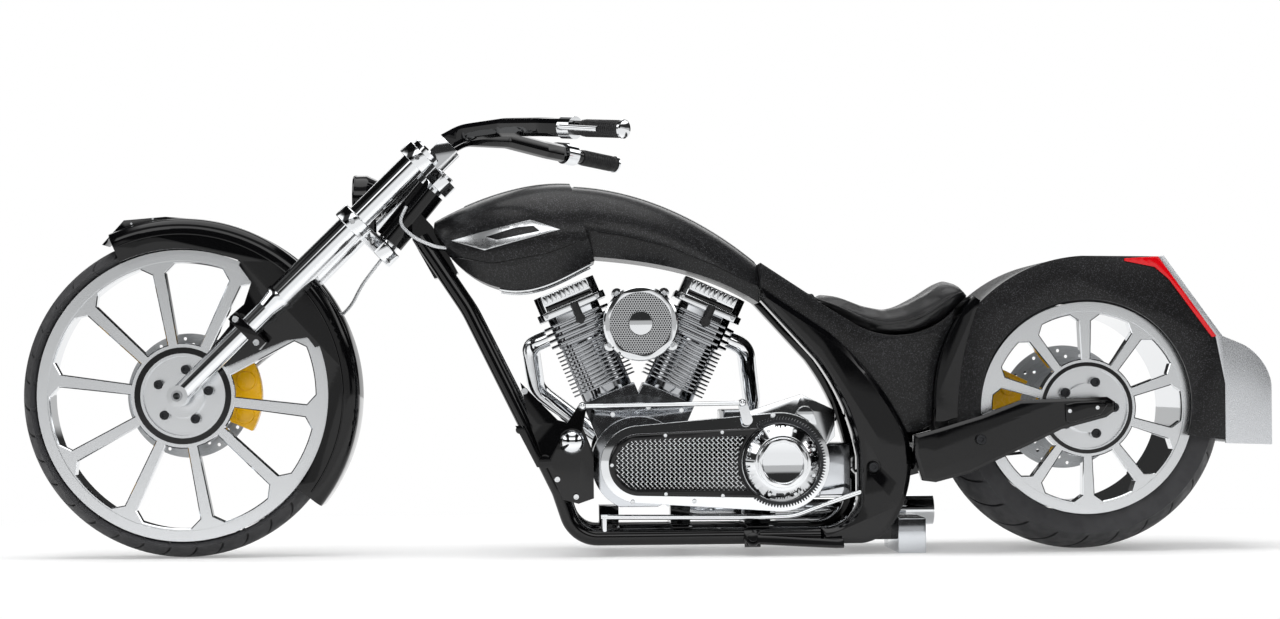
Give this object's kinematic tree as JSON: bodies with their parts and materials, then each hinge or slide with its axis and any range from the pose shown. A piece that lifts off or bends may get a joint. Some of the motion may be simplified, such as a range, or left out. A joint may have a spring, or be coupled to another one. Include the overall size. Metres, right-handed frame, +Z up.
{
  "type": "cruiser motorcycle",
  "caption": "Long low V-twin cruiser motorcycle with raked fork, spoked disc-face wheels, swept tank and boots, wide rear tyre and a parking block under the frame.",
  "frame": {"origin": "on the floor under the middle of the bounding box", "axes": "+X to the tail, +Y to the rider's right, +Z up"},
  "size_m": [2.854, 0.8814, 0.9977],
  "materials": {
    "chrome": "polished",
    "gloss_black": "gloss",
    "satin_black": "satin",
    "tyre": "matte",
    "rubber": "matte",
    "leather": "satin",
    "steel": "brushed",
    "yellow": "gloss",
    "red_lens": "gloss",
    "clear_lens": "clear",
    "silver": "gloss",
    "alloy": "polished"
  },
  "bodies": {
    "frame_body": {"neck": "gloss_black", "downtubes": "gloss_black", "rails": "gloss_black", "cross_members": "gloss_black", "boots": "gloss_black", "parking_block": "alloy", "tank_front": "satin_black", "tank_spine": "satin_black", "tank_vents": "chrome", "seat": "leather", "seat_pan": "satin_black", "rear_fender": "satin_black", "tail_lamps": "red_lens", "tail_panel": "silver", "swingarm": "gloss_black", "rear_axle": "gloss_black", "final_belt": "rubber", "rear_caliper": "yellow", "crankcase": "alloy", "cylinders": "chrome", "heads": "chrome", "rockers": "chrome", "air_cleaner": "chrome", "cam_chest": "chrome", "primary_plate": "chrome", "grille": "gloss_black", "clutch_cover": "chrome", "gearbox": "alloy", "exhaust": "chrome", "foot_controls": "gloss_black", "neck_cable": "silver", "fender_hoop": "gloss_black", "plug_boots": "rubber", "air_screen": "steel", "grille_screen": "steel", "shift_gear": "chrome"},
    "steering_body": {"front_axle": "steel", "fork_legs": "chrome", "lower_clamp": "chrome", "upper_clamp": "chrome", "handlebar": "gloss_black", "grips": "rubber", "hand_controls": "chrome", "headlight": "gloss_black", "headlight_lens": "clear_lens", "front_fender": "gloss_black", "fork_brackets": "gloss_black", "front_caliper": "yellow", "front_hose": "steel"},
    "front_wheel_body": {"front_tyre": "tyre", "front_wheel": "chrome", "front_disc": "steel"},
    "rear_wheel_body": {"rear_tyre": "tyre", "rear_wheel": "chrome", "rear_rotor": "steel"},
    "stand_body": {"side_stand": "gloss_black"}
  },
  "joints": [
    {"name": "steering", "type": "hinge", "parent": "frame_body", "child": "steering_body", "pos_m": [-0.5145, 0, 0.8025], "axis": [0.6428, 0, 0.766], "range_deg": [-28, 28]},
    {"name": "front_wheel_spin", "type": "hinge", "parent": "steering_body", "child": "front_wheel_body", "pos_m": [-1.052, 0, 0.375], "axis": [0, 1, 0], "continuous": true},
    {"name": "rear_wheel_spin", "type": "hinge", "parent": "frame_body", "child": "rear_wheel_body", "pos_m": [1.015, 0, 0.3265], "axis": [0, 1, 0], "continuous": true},
    {"name": "side_stand_fold", "type": "hinge", "parent": "frame_body", "child": "stand_body", "pos_m": [0.249, -0.17, 0.038], "axis": [0, 0.866, -0.5], "range_deg": [0, 92]}
  ]
}
